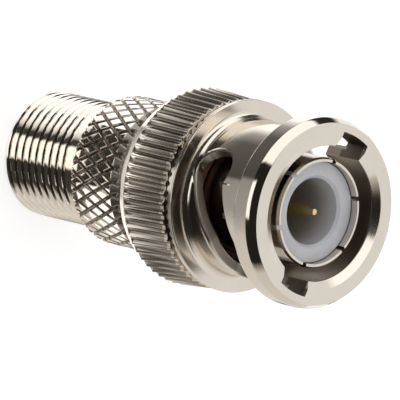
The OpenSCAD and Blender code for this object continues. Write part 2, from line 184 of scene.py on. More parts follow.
def turned(name, rows, columns, limit=None):
    """Carries an outline round the axis: x = r cos a, y = r sin a. limit(r, z, a) caps r on the outer wall."""
    a = np.arange(columns) * TAU / columns
    r = np.repeat(rows[:, :1], columns, 1)
    z = np.repeat(rows[:, 1:], columns, 1)
    if limit:
        r = np.minimum(r, limit(r, z, a[None, :]))
    points = np.stack([r * np.cos(a), r * np.sin(a), z], -1).reshape(-1, 3)
    return solid(name, points, grid_faces(len(rows), columns))


def box(name, low, high, turn=0.0):
    """Box between two corners, turned about the axis by an angle: the eight corners of a two-by-four grid."""
    (x0, y0, z0), (x1, y1, z1) = low, high
    base = about_axis(np.array([(x0, y0), (x1, y0), (x1, y1), (x0, y1)]), turn)
    points = np.concatenate([np.column_stack([base, np.full(4, z)]) for z in (z0, z1)])
    faces = np.concatenate([grid_faces(2, 4, loop_rows=False), [[3, 2, 1, 0], [4, 5, 6, 7]]])
    return solid(name, points, faces)


def joined(name, pieces):
    """One object from several that don't touch."""
    whole = bmesh.new()
    for p in pieces:
        whole.from_mesh(p.data)
    mesh = bpy.data.meshes.new(name)
    whole.to_mesh(mesh)
    whole.free()
    for p in pieces:
        bpy.data.objects.remove(p)
    piece = bpy.data.objects.new(name, mesh)
    bpy.context.scene.collection.objects.link(piece)
    return piece


def cut(piece, *tools):
    """Takes the tools' volume off a piece and keeps only the resulting mesh."""
    for tool in tools:
        step = piece.modifiers.new("cut", "BOOLEAN")
        step.operation, step.solver, step.object = "DIFFERENCE", "EXACT", tool
    shape = bpy.data.meshes.new_from_object(piece.evaluated_get(bpy.context.evaluated_depsgraph_get()))
    piece.modifiers.clear()
    plain = piece.data
    piece.data = shape
    bpy.data.meshes.remove(plain)
    shape.name = piece.name
    for tool in tools:
        mesh = tool.data
        bpy.data.objects.remove(tool)
        bpy.data.meshes.remove(mesh)
    return piece


def shade(piece, degrees):
    """Smooth shading, broken only where two faces meet at more than this angle."""
    mesh = piece.data
    mesh.polygons.foreach_set("use_smooth", np.ones(len(mesh.polygons), bool))
    mesh.set_sharp_from_angle(angle=math.radians(degrees))
    mesh.update()


def stands_for(piece, node, body, coat, degrees=35):
    """Shades a piece, gives it its finish, and puts it in the place of a CAD node on that node's body."""
    shade(piece, degrees)
    piece.data.materials.clear()
    piece.data.materials.append(coat)
    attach(piece, body)
    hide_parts(node)
    return piece


# pieces of the jack

def thread_limit(r, z, a):
    """Radius left by the screw thread.

    The place on the helix is z / pitch - a / turn, with a crest at each whole number. A crest is almost flat
    over three fifths of the pitch, the valley between two is a V, and it runs out at the plain collar.
    """
    turn = (z - THREAD_START) / PITCH - (a - THREAD_TURN) / TAU
    off = np.abs(turn - np.round(turn))
    valley = (THREAD_DEPTH * np.clip((off - THREAD_FLAT) / (0.5 - THREAD_FLAT), 0, 1)
              + THREAD_CROWN * np.minimum(off / THREAD_FLAT, 1) ** 2)
    left = 1 - smooth(THREAD_END, THREAD_END + THREAD_FADE, z)
    outside = (r > WALL_R) & (z < GRIP_Z - 0.1)
    return np.where(outside, THREAD_R - INSET - valley * left, r)


def jack_barrel():
    """Threaded barrel with a lip at its mouth, as far as the rear of the grip."""
    chamfer = 0.35
    rows = outline([(JACK_LIP_R, 0, 0.05), (THREAD_R - chamfer, 0, 0.12), (THREAD_R, chamfer, 0.12),
                    (THREAD_R, GRIP_Z, 0), (JACK_BORE_R, GRIP_Z, 0), (JACK_BORE_R, LIP_Z, 0.03),
                    (JACK_LIP_R, LIP_Z, 0.05)])
    rows = denser(rows, PITCH / 20, lambda r, z: (r > WALL_R) & (z < THREAD_END + 0.4) & (z > 0.01))
    return turned("jack_barrel", rows, columns=256, limit=thread_limit)


def diamond_limit(r, z, a):
    """Radius left by the diamond knurl.

    Two families of grooves run along u + w and u - w, where u counts diamonds round the grip and w counts
    them along the axis. Between them stand diamonds with broad, slightly domed tops, whose sides fall evenly
    to the bottom of the grooves. The grooves start at the grip's rear and fade out along its front cone.
    """
    u, w = a * GRIP_COUNT / TAU, (z - GRIP_START) / GRIP_PITCH
    edge = np.maximum(np.abs(u + w - np.round(u + w)), np.abs(u - w - np.round(u - w)))
    side = np.clip((edge - GRIP_TOP) / (GRIP_ROOT - GRIP_TOP), 0, 1)
    dome = GRIP_DOME * np.minimum(edge / GRIP_TOP, 1) ** 2
    deep = GRIP_DEPTH * smooth(GRIP_Z - 0.15, GRIP_Z + 0.15, z) * (1 - smooth(NECK_Z - 0.8, NECK_Z - 0.4, z))
    on_grip = (r > NECK_R + 0.2) & (z > GRIP_Z - 0.01) & (z < NECK_Z - 0.05)
    return np.where(on_grip, r - deep * (side + dome), r)


def knurled_grip():
    """Rest of the jack's body: the grip with its front cone, and the neck inside the nut."""
    chamfer, cone_drop, lines = 0.07, 0.6, 24
    rows = outline([(JACK_BORE_R, GRIP_Z, 0), (GRIP_R - chamfer, GRIP_Z, 0.02), (GRIP_R, GRIP_Z + chamfer, 0.04),
                    (GRIP_R, CONE_Z, 0.08), (GRIP_R - cone_drop, NECK_Z, 0.06), (NECK_R, NECK_Z, 0.1),
                    (NECK_R, FLANGE_Z, 0.06), (TAIL_BORE_R, FLANGE_Z, 0.05), (TAIL_BORE_R, TAIL_Z, 0.03),
                    (PLUG_BORE_R, TAIL_Z, 0.03), (PLUG_BORE_R, MEET_Z, 0.03), (JACK_BORE_R, MEET_Z, 0.03)], steps=3)
    rows = denser(rows, GRIP_PITCH / lines, lambda r, z: (r > NECK_R + 0.3) & (z > GRIP_Z) & (z < NECK_Z))
    return turned("knurled_grip", rows, columns=GRIP_COUNT * lines, limit=diamond_limit)


def jack_insulator():
    """Insulator in the barrel, countersunk towards the wire socket."""
    outer, entry, entry_end = JACK_BORE_R - 0.02, 1.3, 1.38
    rows = outline([(entry, LIP_Z, 0.06), (outer, LIP_Z, 0.05), (outer, MEET_Z, 0.05), (STEM_BORE_R, MEET_Z, 0.03),
                    (STEM_BORE_R, entry_end, 0.05), (entry, SOCKET_Z, 0.05)])
    return turned("jack_insulator_ring", rows, columns=128)


def socket_contact():
    """Turned contact with a blind hole at each end, slit across at its mouth so that it grips the wire."""
    wire_end, pin_end, slit_end, half_slit = 6.3, 7.35, 5.1, 0.1
    rows = outline([(0, wire_end, 0), (WIRE_R, wire_end, 0), (WIRE_R, SOCKET_Z, 0.1), (SOCKET_R, SOCKET_Z, 0.08),
                    (SOCKET_R, MEET_Z, 0.05), (WIRE_R, MEET_Z, 0.04), (WIRE_R, pin_end, 0), (0, pin_end, 0)])
    contact = turned("wire_socket", rows, columns=96)
    return cut(contact, box("slit", (-2, -half_slit, 0), (2, half_slit, slit_end)))


# pieces of the plug

def contact_pin():
    """Pin with a thick stem and a long taper; its thin tail goes into the wire socket."""
    tail_r, tail_z, pin_r, taper_z, tip_r, tip_z = 0.48, 7.4, 0.675, 26.35, 0.23, 29.55
    rows = outline([(0, tail_z, 0), (tail_r, tail_z, 0.06), (tail_r, MEET_Z, 0.02), (STEM_R, MEET_Z, 0.03),
                    (STEM_R, BORE_END_Z, 0.03), (pin_r, BORE_END_Z, 0.02), (pin_r, taper_z, 0.5),
                    (tip_r, tip_z - 0.06, 0.05), (0, tip_z, 0)])
    return turned("centre_pin", rows, columns=96)


def plug_insulator():
    """Insulator in the finger shell: close round the pin's stem, with a wide bore round the pin itself."""
    outer, front_r, bore_r, lead = PLUG_BORE_R - 0.02, 3.71, 2.45, 0.22
    swell_z, swell_end = 27, 27.6
    rows = outline([(STEM_BORE_R, MEET_Z, 0.02), (outer, MEET_Z, 0.05), (outer, swell_z, 0.2),
                    (front_r, swell_end, 0.2), (front_r, INSULATOR_Z, 0.06), (bore_r + lead, INSULATOR_Z, 0.06),
                    (bore_r, INSULATOR_Z - lead, 0.06), (bore_r, BORE_END_Z, 0.12), (STEM_BORE_R, BORE_END_Z, 0.02)])
    return turned("plug_insulator_sleeve", rows, columns=160)


def finger_shell():
    """Outer contact: a tail pressed into the neck, a flange, and a thin tube slit into fingers."""
    tail_r, flange_r, inner_r, tip_in, tip_len, thin_z = TAIL_BORE_R - 0.02, 5.6, 3.73, 0.12, 0.24, 23.68
    rows = outline([(PLUG_BORE_R, TAIL_Z, 0.02), (tail_r, TAIL_Z, 0.05), (tail_r, FLANGE_Z, 0.03),
                    (flange_r, FLANGE_Z, 0.06), (flange_r, SEAT_Z, 0.06), (FINGER_R, SEAT_Z, 0.05),
                    (FINGER_R, FINGER_Z - tip_len, 0.1), (FINGER_R - tip_in, FINGER_Z, 0.04),
                    (inner_r, FINGER_Z, 0.03), (inner_r, thin_z, 0.03), (PLUG_BORE_R, thin_z, 0.02)])
    shell = turned("spring_fingers", rows, columns=240)
    half_slit, slit_in, slit_out, slit_z, first, fingers = 0.18, 2.6, 5.2, 24, 8, 6
    slits = [box("slit", (slit_in, -half_slit, slit_z), (slit_out, half_slit, FINGER_Z + 1),
                 math.radians(first + 360 / fingers * k)) for k in range(fingers)]
    return cut(shell, joined("slits", slits))


def gasket():
    """Rubber ring round the foot of the fingers."""
    inner, outer, top = FINGER_R + 0.02, 4.75, SEAT_Z + 1.7
    rows = outline([(inner, SEAT_Z, 0.05), (outer, SEAT_Z, 0.08), (outer, top, 0.2), (inner, top, 0.2)])
    return turned("seal_ring", rows, columns=160)


# nut and springs

def ridge_limit(r, z, a):
    """Radius left by the straight knurl.

    Ridges repeat round the nut, each with a narrow crest, and each ends at the front in a round nose: a
    quarter of an ellipse down to the groove between the knurl and the step.
    """
    place = a * KNURL_COUNT / TAU - KNURL_PHASE
    off = np.abs(place - np.round(place))
    top, root, crown = 0.03, 0.38, 0.02
    tooth = KNURL_R - KNURL_DEPTH * smooth(top, root, off) - crown * smooth(0, 0.1, off) - BAND_R
    along = np.clip(z - KNURL_END + NOSE, 0, None) / (NOSE - 0.03)
    nose = np.sqrt(np.clip(1 - along ** 2, 0, 1))
    on_knurl = (r > BAND_R + 0.01) & (z > KNURL_Z - 0.01) & (z < KNURL_END + 0.01)
    return np.where(on_knurl, BAND_R + tooth * nose, r)


def slot_edges(grow):
    """Places s along the sleeve, with the lower and the upper edge of a cam slot at each.

    At each place s the slot reaches from the lowest to the highest of four forms: the round start at the
    notch, the level part with the ramp below it, the ramp's round end, and the pocket. grow widens them all.
    """
    half, pocket = SLOT_HALF + grow, POCKET_R + grow
    level, run = SLOT_LEVEL * SLEEVE_R, SLOT_SWEEP * SLEEVE_R
    slope = SLOT_DROP / (run - level)
    tilt = math.atan(slope)
    places = 181  # closer together near the two round ends
    s = (1 - np.cos(np.linspace(0, math.pi, places))) / 2 * (run + half + pocket) - run - pocket
    lows, highs = [], []
    for centre, z, radius in ((0, ENTRY_Z, half), (-run, ENTRY_Z - SLOT_DROP, half), (-run, POCKET_Z, pocket)):
        inside = np.abs(s - centre) <= radius + 1e-6
        rise = np.sqrt(np.clip(radius ** 2 - (s - centre) ** 2, 0, None))
        lows.append(np.where(inside, z - rise, np.inf))
        highs.append(np.where(inside, z + rise, -np.inf))
    ramp = ENTRY_Z + (s + level) * slope
    lean, away = half * math.sin(tilt), half / math.cos(tilt)
    lows.append(np.where((s <= 0) & (s >= lean - run), np.minimum(ENTRY_Z - half, ramp - away), np.inf))
    highs.append(np.where((s <= 0) & (s >= -lean - run), np.minimum(ENTRY_Z + half, ramp + away), -np.inf))
    return s, np.min(lows, 0), np.max(highs, 0)


def cam_slot(name, turn):
    """Cam slot as a stack of outlines at growing radius; it flares where it breaks through the sleeve."""
    radii = (CUT_R, 5.54, 5.63, 5.70, 5.765, 5.84, CUT_END_R)
    grows = (0.0, 0.0, 0.015, 0.05, 0.11, 0.20, 0.20)
    rings = []
    for radius, grow in zip(radii, grows):
        s, bottom, top = slot_edges(grow)
        a = turn + s / SLEEVE_R
        under = np.stack([radius * np.cos(a), radius * np.sin(a), bottom], -1)
        over = np.stack([radius * np.cos(a), radius * np.sin(a), top], -1)
        rings.append(np.concatenate([under, over[-2:0:-1]]))
    points = np.array(rings)
    layers, around = points.shape[:2]
    n = len(s)
    walls = grid_faces(layers, around, loop_rows=False)
    lower = np.arange(n)
    upper = np.concatenate([[0], np.arange(around - 1, n - 1, -1), [n - 1]])
    lid = np.stack([lower[:-1], lower[1:], upper[1:], upper[:-1]], -1)
    faces = np.concatenate([walls, lid[:, ::-1], lid + (layers - 1) * around])
    return solid(name, points.reshape(-1, 3), faces)


def notch_tool(name, turn):
    """Straight way in for one lug: a channel along the axis from the mouth to the level part of its slot."""
    y = np.linspace(-SLOT_HALF, SLOT_HALF, 25)
    outer, inner = np.sqrt(NOTCH_R ** 2 - y ** 2), np.sqrt(CUT_R ** 2 - y ** 2)
    base = about_axis(np.concatenate([np.stack([outer, y], -1), np.stack([inner, y], -1)[::-1]]), turn)
    n = len(base)
    points = np.concatenate([np.column_stack([base, np.full(n, z)]) for z in (ENTRY_Z, FACE_Z + 1)])
    walls = grid_faces(2, n, loop_rows=False)
    k = np.arange(len(y) - 1)
    lid = np.stack([k, k + 1, n - 2 - k, n - 1 - k], -1)
    return solid(name, points, np.concatenate([walls, lid[:, ::-1], lid + n]))


def coupling_nut():
    """Nut from its rear band to the rim, with the ring's groove, the chamber and the bore inside, then cut."""
    groove_z, groove_end, bevel, bevel_drop, lead_r, lead = 16.45, 17.1, 0.6, 0.35, 5.6, 0.3
    rows = outline([(CHAMBER_R, NUT_Z, 0.12), (BAND_R, NUT_Z, 0.1), (BAND_R, KNURL_Z, 0.02),
                    (KNURL_R - 0.3, KNURL_Z, 0.03), (KNURL_R, KNURL_Z + 0.35, 0.05),
                    (KNURL_R, KNURL_END - 0.03, 0.01), (BAND_R, KNURL_END, 0.01), (BAND_R, STEP_Z - 0.6, 0.08),
                    (STEP_R, STEP_Z - 0.27, 0.05), (STEP_R, STEP_Z, 0.07), (SLEEVE_R, STEP_Z, 0.55),
                    (SLEEVE_R, RIM_Z, 0.1), (RIM_R, RIM_Z, 0.09), (RIM_R, FACE_Z - bevel, 0.9),
                    (RIM_R - bevel_drop, FACE_Z, 0.05), (lead_r, FACE_Z, 0.06), (BORE_R, FACE_Z - lead, 0.06),
                    (BORE_R, CHAMBER_Z, 0.06), (CHAMBER_R, CHAMBER_Z, 0.12), (CHAMBER_R, groove_end, 0.03),
                    (GROOVE_R, groove_end, 0.03), (GROOVE_R, groove_z, 0.03), (CHAMBER_R, groove_z, 0.03)])
    nose_z = KNURL_END - NOSE - 0.05
    rows = denser(rows, 0.05, lambda r, z: (r > BAND_R) & (z > nose_z) & (z < KNURL_END))
    rows = denser(rows, 1.0, lambda r, z: (np.abs(r - SLEEVE_R) < 0.1) & (z > STEP_Z + 0.05) & (z < RIM_Z - 0.05))
    nut = turned("bayonet_nut", rows, columns=KNURL_COUNT * 12, limit=ridge_limit)
    turns = [SLOT_TURN + k * math.pi for k in range(2)]
    return cut(nut, joined("slots", [cam_slot("slot", t) for t in turns]),
               joined("notches", [notch_tool("notch", t) for t in turns]))


def washer():
    """Flat washer behind the wave washers."""
    top = WASHER_Z + 0.45
    rows = outline([(WASHER_IN_R, WASHER_Z, 0.06), (WASHER_OUT_R, WASHER_Z, 0.06), (WASHER_OUT_R, top, 0.06),
                    (WASHER_IN_R, top, 0.06)])
    return turned("flat_washer", rows, columns=128)


def waves():
    """Two wave washers: a flat ring raised by lift times (1 - cos 3a), and the same one upside down above it."""
    thick, lift, gap, columns = 0.25, 0.25, 0.025, 180
    rows = outline([(WASHER_IN_R, 0, 0.05), (WASHER_OUT_R, 0, 0.05), (WASHER_OUT_R, thick, 0.05),
                    (WASHER_IN_R, thick, 0.05)], steps=3)
    a = np.arange(columns) * TAU / columns
    r, z = rows[:, :1], rows[:, 1:] + lift * (1 - np.cos(3 * a))
    low = np.stack([r * np.cos(a), r * np.sin(a), WAVE_Z + gap + z], -1)
    high = low * [1, 1, -1] + [0, 0, WAVE_Z + FLANGE_Z]
    faces = grid_faces(len(rows), columns)
    return solid("wave_pair", np.concatenate([low.reshape(-1, 3), high.reshape(-1, 3)]),
                 np.concatenate([faces, faces[:, ::-1] + low.size // 3]))


def split_ring():
    """Square ring swept from one side of its opening to the other, with a lid on each end."""
    inner, outer, z, thick, half_opening, columns = 4.9, 6.3, NUT_Z + 0.675, 0.6, math.radians(14), 160
    rows = outline([(inner, z, 0.07), (outer, z, 0.07), (outer, z + thick, 0.07), (inner, z + thick, 0.07)], steps=3)
    a = np.linspace(half_opening, TAU - half_opening, columns)
    r, h = rows[:, :1], np.repeat(rows[:, 1:], columns, 1)
    points = np.stack([r * np.cos(a), r * np.sin(a), h], -1).reshape(-1, 3)
    faces = grid_faces(len(rows), columns, loop_columns=False)
    k = np.arange(len(rows) // 2 - 1)
    lid = np.stack([k, k + 1, len(rows) - 2 - k, len(rows) - 1 - k], -1) * columns
    return solid("split_ring", points, np.concatenate([faces, lid[:, ::-1], lid + columns - 1]))


# finishes

class Value:
    """A shader socket under Python's operators; each operator adds one Math node."""

    def __init__(self, board, socket):
        self.board, self.socket = board, socket

    def calc(self, kind, *terms):
        """One Math node of this kind."""
        return self.board.node("ShaderNodeMath", {"operation": kind}, dict(enumerate(terms)))

    def __add__(self, other):
        return self.calc("ADD", self, other)

    def __rsub__(self, other):
        return self.calc("SUBTRACT", other, self)

    def __mul__(self, other):
        return self.calc("MULTIPLY", self, other)

    def __pow__(self, other):
        return self.calc("POWER", self, other)

    __radd__ = __add__

    def step(self, low, high):
        """Goes smoothly from 0 to 1 as the value goes from low to high."""
        return self.board.node("ShaderNodeMapRange", {"interpolation_type": "SMOOTHSTEP"},
                               {"Value": self, "From Min": low, "From Max": high})


class Board:
    """A node tree. node() is the one way to add a node: type, settings, then its sockets' values or links."""

    def __init__(self, tree):
        self.tree = tree
        tree.nodes.clear()

    def node(self, kind, settings=None, sockets=None, out=0):
        made = self.tree.nodes.new(kind)
        for key, value in (settings or {}).items():
            setattr(made, key, value)
        for key, value in (sockets or {}).items():
            if isinstance(value, Value):
                self.tree.links.new(value.socket, made.inputs[key])
            else:
                made.inputs[key].default_value = value
        return Value(self, made.outputs[out] if made.outputs else None)

    def mix(self, share, a, b):
        """Colour between a and b."""
        return self.node("ShaderNodeMix", {"data_type": "RGBA"}, {0: share, 6: a, 7: b}, out=2)

    def bump(self, strength, distance, height):
        """Normal roughened by a height."""
        return self.node("ShaderNodeBump", None, {"Strength": strength, "Distance": distance, "Height": height})

    def place(self):
        """Object coordinates in millimetres as a vector, with r and z as values."""
        point = self.node("ShaderNodeTexCoord", out=3)
        point = self.node("ShaderNodeVectorMath", {"operation": "SCALE"}, {0: point, "Scale": 1 / MM})
        parts = self.node("ShaderNodeSeparateXYZ", None, {0: point})
        x, y, z = (Value(self, s) for s in parts.socket.node.outputs)
        return point, (x * x + y * y) ** 0.5, z

    def noise(self, vector, scale, detail=3.0):
        """Soft noise, from 0 to 1, with this many cells to a unit of the vector."""
        return self.node("ShaderNodeTexNoise", None,
                         {"Vector": vector, "Scale": scale, "Detail": detail, "Roughness": 0.55})

    def rings(self, r, z, scale):
        """Noise that changes only with r and z, as turning marks do."""
        return self.noise(self.node("ShaderNodeCombineXYZ", None, {0: r, 1: z}), scale, 4.0)


def colour(r, g, b):
    """Opaque colour for a socket."""
    return (r, g, b, 1.0)


def new_board(made):
    """Empty node tree of a material or world."""
    made.use_nodes = True
    return Board(made.node_tree)


def finish(name, paint):
    """Material whose Principled sockets come from paint(board), a dict of socket names."""
    made = bpy.data.materials.new(name)
    board = new_board(made)
    shader = board.node("ShaderNodeBsdfPrincipled", None, paint(board))
    board.node("ShaderNodeOutputMaterial", None, {"Surface": shader})
    return made


NICKEL = (0.745, 0.685, 0.605)
GROOVE_SHADE_TONE = (0.20, 0.165, 0.135)  # painted shade: the plating's colour darkened where grooves and recesses lie in shade
HARDENED = (0.50, 0.43, 0.34)  # straw tint of hardened steel
BORE_SHADE_TONE = (0.22, 0.19, 0.155)  # painted shade: polymer darkened deep in a bore


def plated(name, smoothness, painted_shade=None, dull=None):
    """Bright nickel plating over turned metal.

    Fine rings follow the lathe tool and a soft haze varies the gloss. A mask of (r, z), from 0 on a crest to 1
    in a groove, paints shade: it darkens the colour and dulls the gloss in grooves; dull(r, z) only takes off gloss.
    """
    def paint(b):
        point, r, z = b.place()
        haze = b.noise(point, 0.35)
        rings = b.rings(r, z, 9.0)
        grain = b.noise(point, 14.0, 2.0)
        tone = b.mix(haze.step(0.35, 0.7), colour(*NICKEL), colour(*(0.955 * t for t in NICKEL)))
        rough = smoothness + haze.step(0.4, 0.75) * 0.035 + rings * 0.03
        # painted shade: grooves and recesses darkened towards the dark groove tone, with a little less gloss
        if painted_shade:
            low = painted_shade(r, z)
            tone = b.mix(low * 0.75, tone, colour(*GROOVE_SHADE_TONE))
            rough = rough + low * 0.08
        if dull:
            rough = rough + dull(r, z)
        return {"Base Color": tone, "Metallic": 1.0, "Roughness": rough,
                "Normal": b.bump(0.10, 0.000012, rings * 0.7 + grain * 0.12)}
    return finish(name, paint)


def brushed(name, tint):
    """Rolled spring steel with a short grain and a faint warm tint from hardening."""
    def paint(b):
        point = b.place()[0]
        grain = b.noise(b.node("ShaderNodeMapping", None, {"Vector": point, "Scale": (9.0, 1.2, 1.2)}), 3.0, 5.0)
        stain = b.noise(point, 0.5)
        tone = b.mix(stain.step(0.4, 0.7), colour(*tint), colour(*HARDENED))
        return {"Base Color": tone, "Metallic": 1.0, "Roughness": grain * 0.25 + 0.22,
                "Normal": b.bump(0.25, 0.00001, grain)}
    return finish(name, paint)


def gilded(name, tint, deep):
    """Thin gold or bronze over a turned pin: rings from the lathe and a duller, browner tone in patches."""
    def paint(b):
        point, r, z = b.place()
        rings, patch = b.rings(r, z, 12.0), b.noise(point, 1.4)
        tone = b.mix(patch.step(0.35, 0.7), colour(*tint), colour(*deep))
        return {"Base Color": tone, "Metallic": 1.0, "Roughness": rings * 0.12 + patch * 0.10 + 0.12,
                "Normal": b.bump(0.2, 0.000012, rings)}
    return finish(name, paint)


def waxy(name, tint, shade_tint, bore_r=0.0):
    """Machined white polymer: waxy gloss, tool rings, a cloudy tone, and painted shade that turns the wall inside
    bore_r browner and darker.
    """
    def paint(b):
        point, r, z = b.place()
        rings, cloud = b.rings(r, z, 5.0), b.noise(point, 0.8)
        tone = b.mix(cloud.step(0.35, 0.75), colour(*tint), colour(*shade_tint))
        # painted shade: the wall deep inside the bore is darkened towards a brown-grey
        depth = r.step(bore_r + 0.1, bore_r) * z.step(FACE_Z - 1.3, BORE_END_Z + 4)
        tone = b.mix(depth * 0.9, tone, colour(*BORE_SHADE_TONE))
        return {"Base Color": tone, "Roughness": rings * 0.18 + 0.30, "Subsurface Weight": 0.15,
                "Subsurface Radius": (0.0004, 0.0004, 0.0004), "Subsurface Scale": 1.0,
                "Normal": b.bump(0.25, 0.00002, rings)}
    return finish(name, paint)


def rubbery(name, tint, worn):
    """Moulded silicone rubber: matt, finely pitted, with a paler bloom in patches."""
    def paint(b):
        point = b.place()[0]
        pits, bloom = b.noise(point, 18.0, 4.0), b.noise(point, 0.9)
        tone = b.mix(bloom.step(0.4, 0.75) * 0.5, colour(*tint), colour(*worn))
        return {"Base Color": tone, "Roughness": pits * 0.2 + 0.42, "Normal": b.bump(0.35, 0.00003, pits)}
    return finish(name, paint)


def nut_bore(r, z):
    """The nut's bore, in front of its chamber."""
    return r.step(BORE_R + 0.02, BORE_R + 0.01) * z.step(CHAMBER_Z + 0.05, CHAMBER_Z + 0.15)


def nut_milled(r, z, lip):
    """Walls of the slots and notches, out to a lip that lies this far below the sleeve."""
    in_sleeve = r.step(SLEEVE_R - lip, SLEEVE_R - lip - 0.04)
    in_rim = r.step(NOTCH_R + 0.1, NOTCH_R + 0.05) * z.step(RIM_Z + 0.05, RIM_Z + 0.15)
    past_bore = r.step(BORE_R + 0.02, BORE_R + 0.05)
    along = z.step(STEP_Z + 0.35, STEP_Z + 0.45) * z.step(FACE_Z - 0.31, FACE_Z - 0.35)
    return past_bore * along * r.calc("MAXIMUM", in_sleeve, in_rim)


def nut_painted_shade(r, z):
    """Painted shade: the valleys and rear ends of the knurl, the groove in front of it, the milled walls and the
    bore, darkened where they lie in shade.
    """
    nose_z = KNURL_END - 0.45
    from_rear = z.step(KNURL_Z - 0.01, KNURL_Z)
    valleys = (KNURL_R - 0.05 - r).step(0, 0.25) * from_rear * z.step(nose_z + 0.1, nose_z)
    rear = r.step(BAND_R + 0.05, BAND_R + 0.1) * z.step(KNURL_Z + 0.4, KNURL_Z + 0.3) * from_rear
    groove = (z.step(nose_z, nose_z + 0.1) * z.step(STEP_Z - 0.2, STEP_Z - 0.3)
              * r.step(STEP_R - 0.01, STEP_R - 0.13) * r.step(BAND_R - 0.06, BAND_R - 0.02))
    milled = nut_milled(r, z, 0.2) * (z.step(RIM_Z - 0.4, RIM_Z - 0.2) * 0.7 + 0.6)
    return valleys + rear * 0.5 + groove * 0.35 + milled + nut_bore(r, z) * 0.6


def nut_dull(r, z):
    """Gloss taken off the step's front face, the fillet up to the sleeve, the milled walls and the bore."""
    cove = z.step(STEP_Z - 0.04, STEP_Z) * z.step(STEP_Z + 0.6, STEP_Z + 0.5) * r.step(SLEEVE_R - 0.02, SLEEVE_R)
    return cove * 0.1 + nut_milled(r, z, 0.01) * 0.28 + nut_bore(r, z) * 0.22


def grip_painted_shade(r, z):
    """Painted shade in the grooves between the diamonds, and a painted shadow over the whole front cone, in the gap
    before the nut.
    """
    grooves = (GRIP_R - r).step(0.014, 0.05) * r.step(NECK_R + 0.7, NECK_R + 0.75) * z.step(CONE_Z + 0.2, CONE_Z)
    return grooves + z.step(CONE_Z, CONE_Z + 0.2) * r.step(NECK_R + 0.1, NECK_R + 0.2)


def grip_dull(r, z):
    """Gloss taken off the front cone."""
    return z.step(CONE_Z - 0.1, CONE_Z + 0.1) * z.step(NECK_Z + 0.1, NECK_Z) * 0.22


def finger_painted_shade(r, z):
    """Painted shade on the outer wall of the fingers, behind their tips, where they lie inside the nut."""
    return r.step(FINGER_R - 0.05, FINGER_R - 0.01) * z.step(FINGER_Z - 0.2, FINGER_Z - 0.4) * 0.8


# painted shade: the masks passed third darken grooves, recesses, the grip's front cone and the fingers' outer wall
nut_nickel = plated("nut_nickel", 0.055, nut_painted_shade, nut_dull)
barrel_nickel = plated("barrel_nickel", 0.06)
grip_nickel = plated("grip_nickel", 0.07, grip_painted_shade, grip_dull)
finger_nickel = plated("finger_nickel", 0.10, finger_painted_shade)
spring_steel = brushed("spring_steel", (0.56, 0.54, 0.51))
pin_gold = gilded("pin_gold", (0.88, 0.69, 0.30), (0.78, 0.57, 0.22))
socket_bronze = gilded("socket_bronze", (0.78, 0.58, 0.36), (0.58, 0.40, 0.24))
# painted shade: the plug's insulator is the same white polymer as the jack's, given a grey tone for the shade it
# lies in inside the nut
shaded_plug_polymer = waxy("shaded_plug_polymer", (0.47, 0.47, 0.49), (0.42, 0.42, 0.44), 2.48)
jack_polymer = waxy("jack_polymer", (0.82, 0.82, 0.81), (0.75, 0.75, 0.74))
seal_rubber = rubbery("seal_rubber", (0.13, 0.052, 0.040), (0.19, 0.085, 0.066))

stands_for(jack_barrel(), "jack_body", "body", barrel_nickel)
stands_for(knurled_grip(), "jack_body", "body", grip_nickel, 28)
stands_for(jack_insulator(), "jack_insulator", "body", jack_polymer)
stands_for(socket_contact(), "socket_contact", "body", socket_bronze)
stands_for(contact_pin(), "contact_pin", "body", pin_gold)
stands_for(plug_insulator(), "plug_insulator", "body", shaded_plug_polymer)
stands_for(finger_shell(), "finger_shell", "body", finger_nickel)
stands_for(gasket(), "gasket", "body", seal_rubber)
stands_for(washer(), "thrust_washer", "washer", spring_steel)
stands_for(coupling_nut(), "coupling_nut", "nut", nut_nickel)
stands_for(split_ring(), "retaining_ring", "nut", spring_steel)
springs = stands_for(waves(), "wave_washers", "body", spring_steel)
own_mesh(springs)


# studio

# Camera in metres: its place and the directions of its right and top edges, fitted to the photo's outline
eye = np.array([-0.241557, 0.073644, 0.288716])
right, up = np.array([0.74729, 0.0, 0.66450]), np.array([0.13370, 0.97955, -0.15035])
turned_to = np.column_stack([right, up, np.cross(right, up)])
camera = bpy.data.objects.new("camera", bpy.data.cameras.new("camera"))
camera.data.lens, camera.data.sensor_width = 452.0, 36.0
camera.data.clip_start, camera.data.clip_end = 0.05, 20.0
camera.matrix_world = Matrix([[*row, e] for row, e in zip(turned_to, eye)] + [[0, 0, 0, 1]])
bpy.context.scene.collection.objects.link(camera)
bpy.context.scene.camera = camera

# Direction from the axis towards the camera, along the floor; the cards are laid out from it
FRONT = math.atan2(eye[1], eye[0])
# Millimetres from the part's end face down to the floor, and up to the flat cards
LAYER = 0.02
# The floor's own tone, its glow where it is looked at, and the brightness of the tent round it all
FLOOR_TONE, FLOOR_GLOW, TENT = 0.62, 0.52, 0.92


def shown_white(board, strength):
    """1 where the camera, a mirror or a clear body looks, times a strength."""
    path = board.node("ShaderNodeLightPath").socket.node.outputs
    seen = [Value(board, path[n]) for n in ("Is Camera Ray", "Is Glossy Ray", "Is Transmission Ray")]
    return seen[0].calc("MAXIMUM", seen[0].calc("MAXIMUM", seen[0], seen[1]), seen[2]) * strength


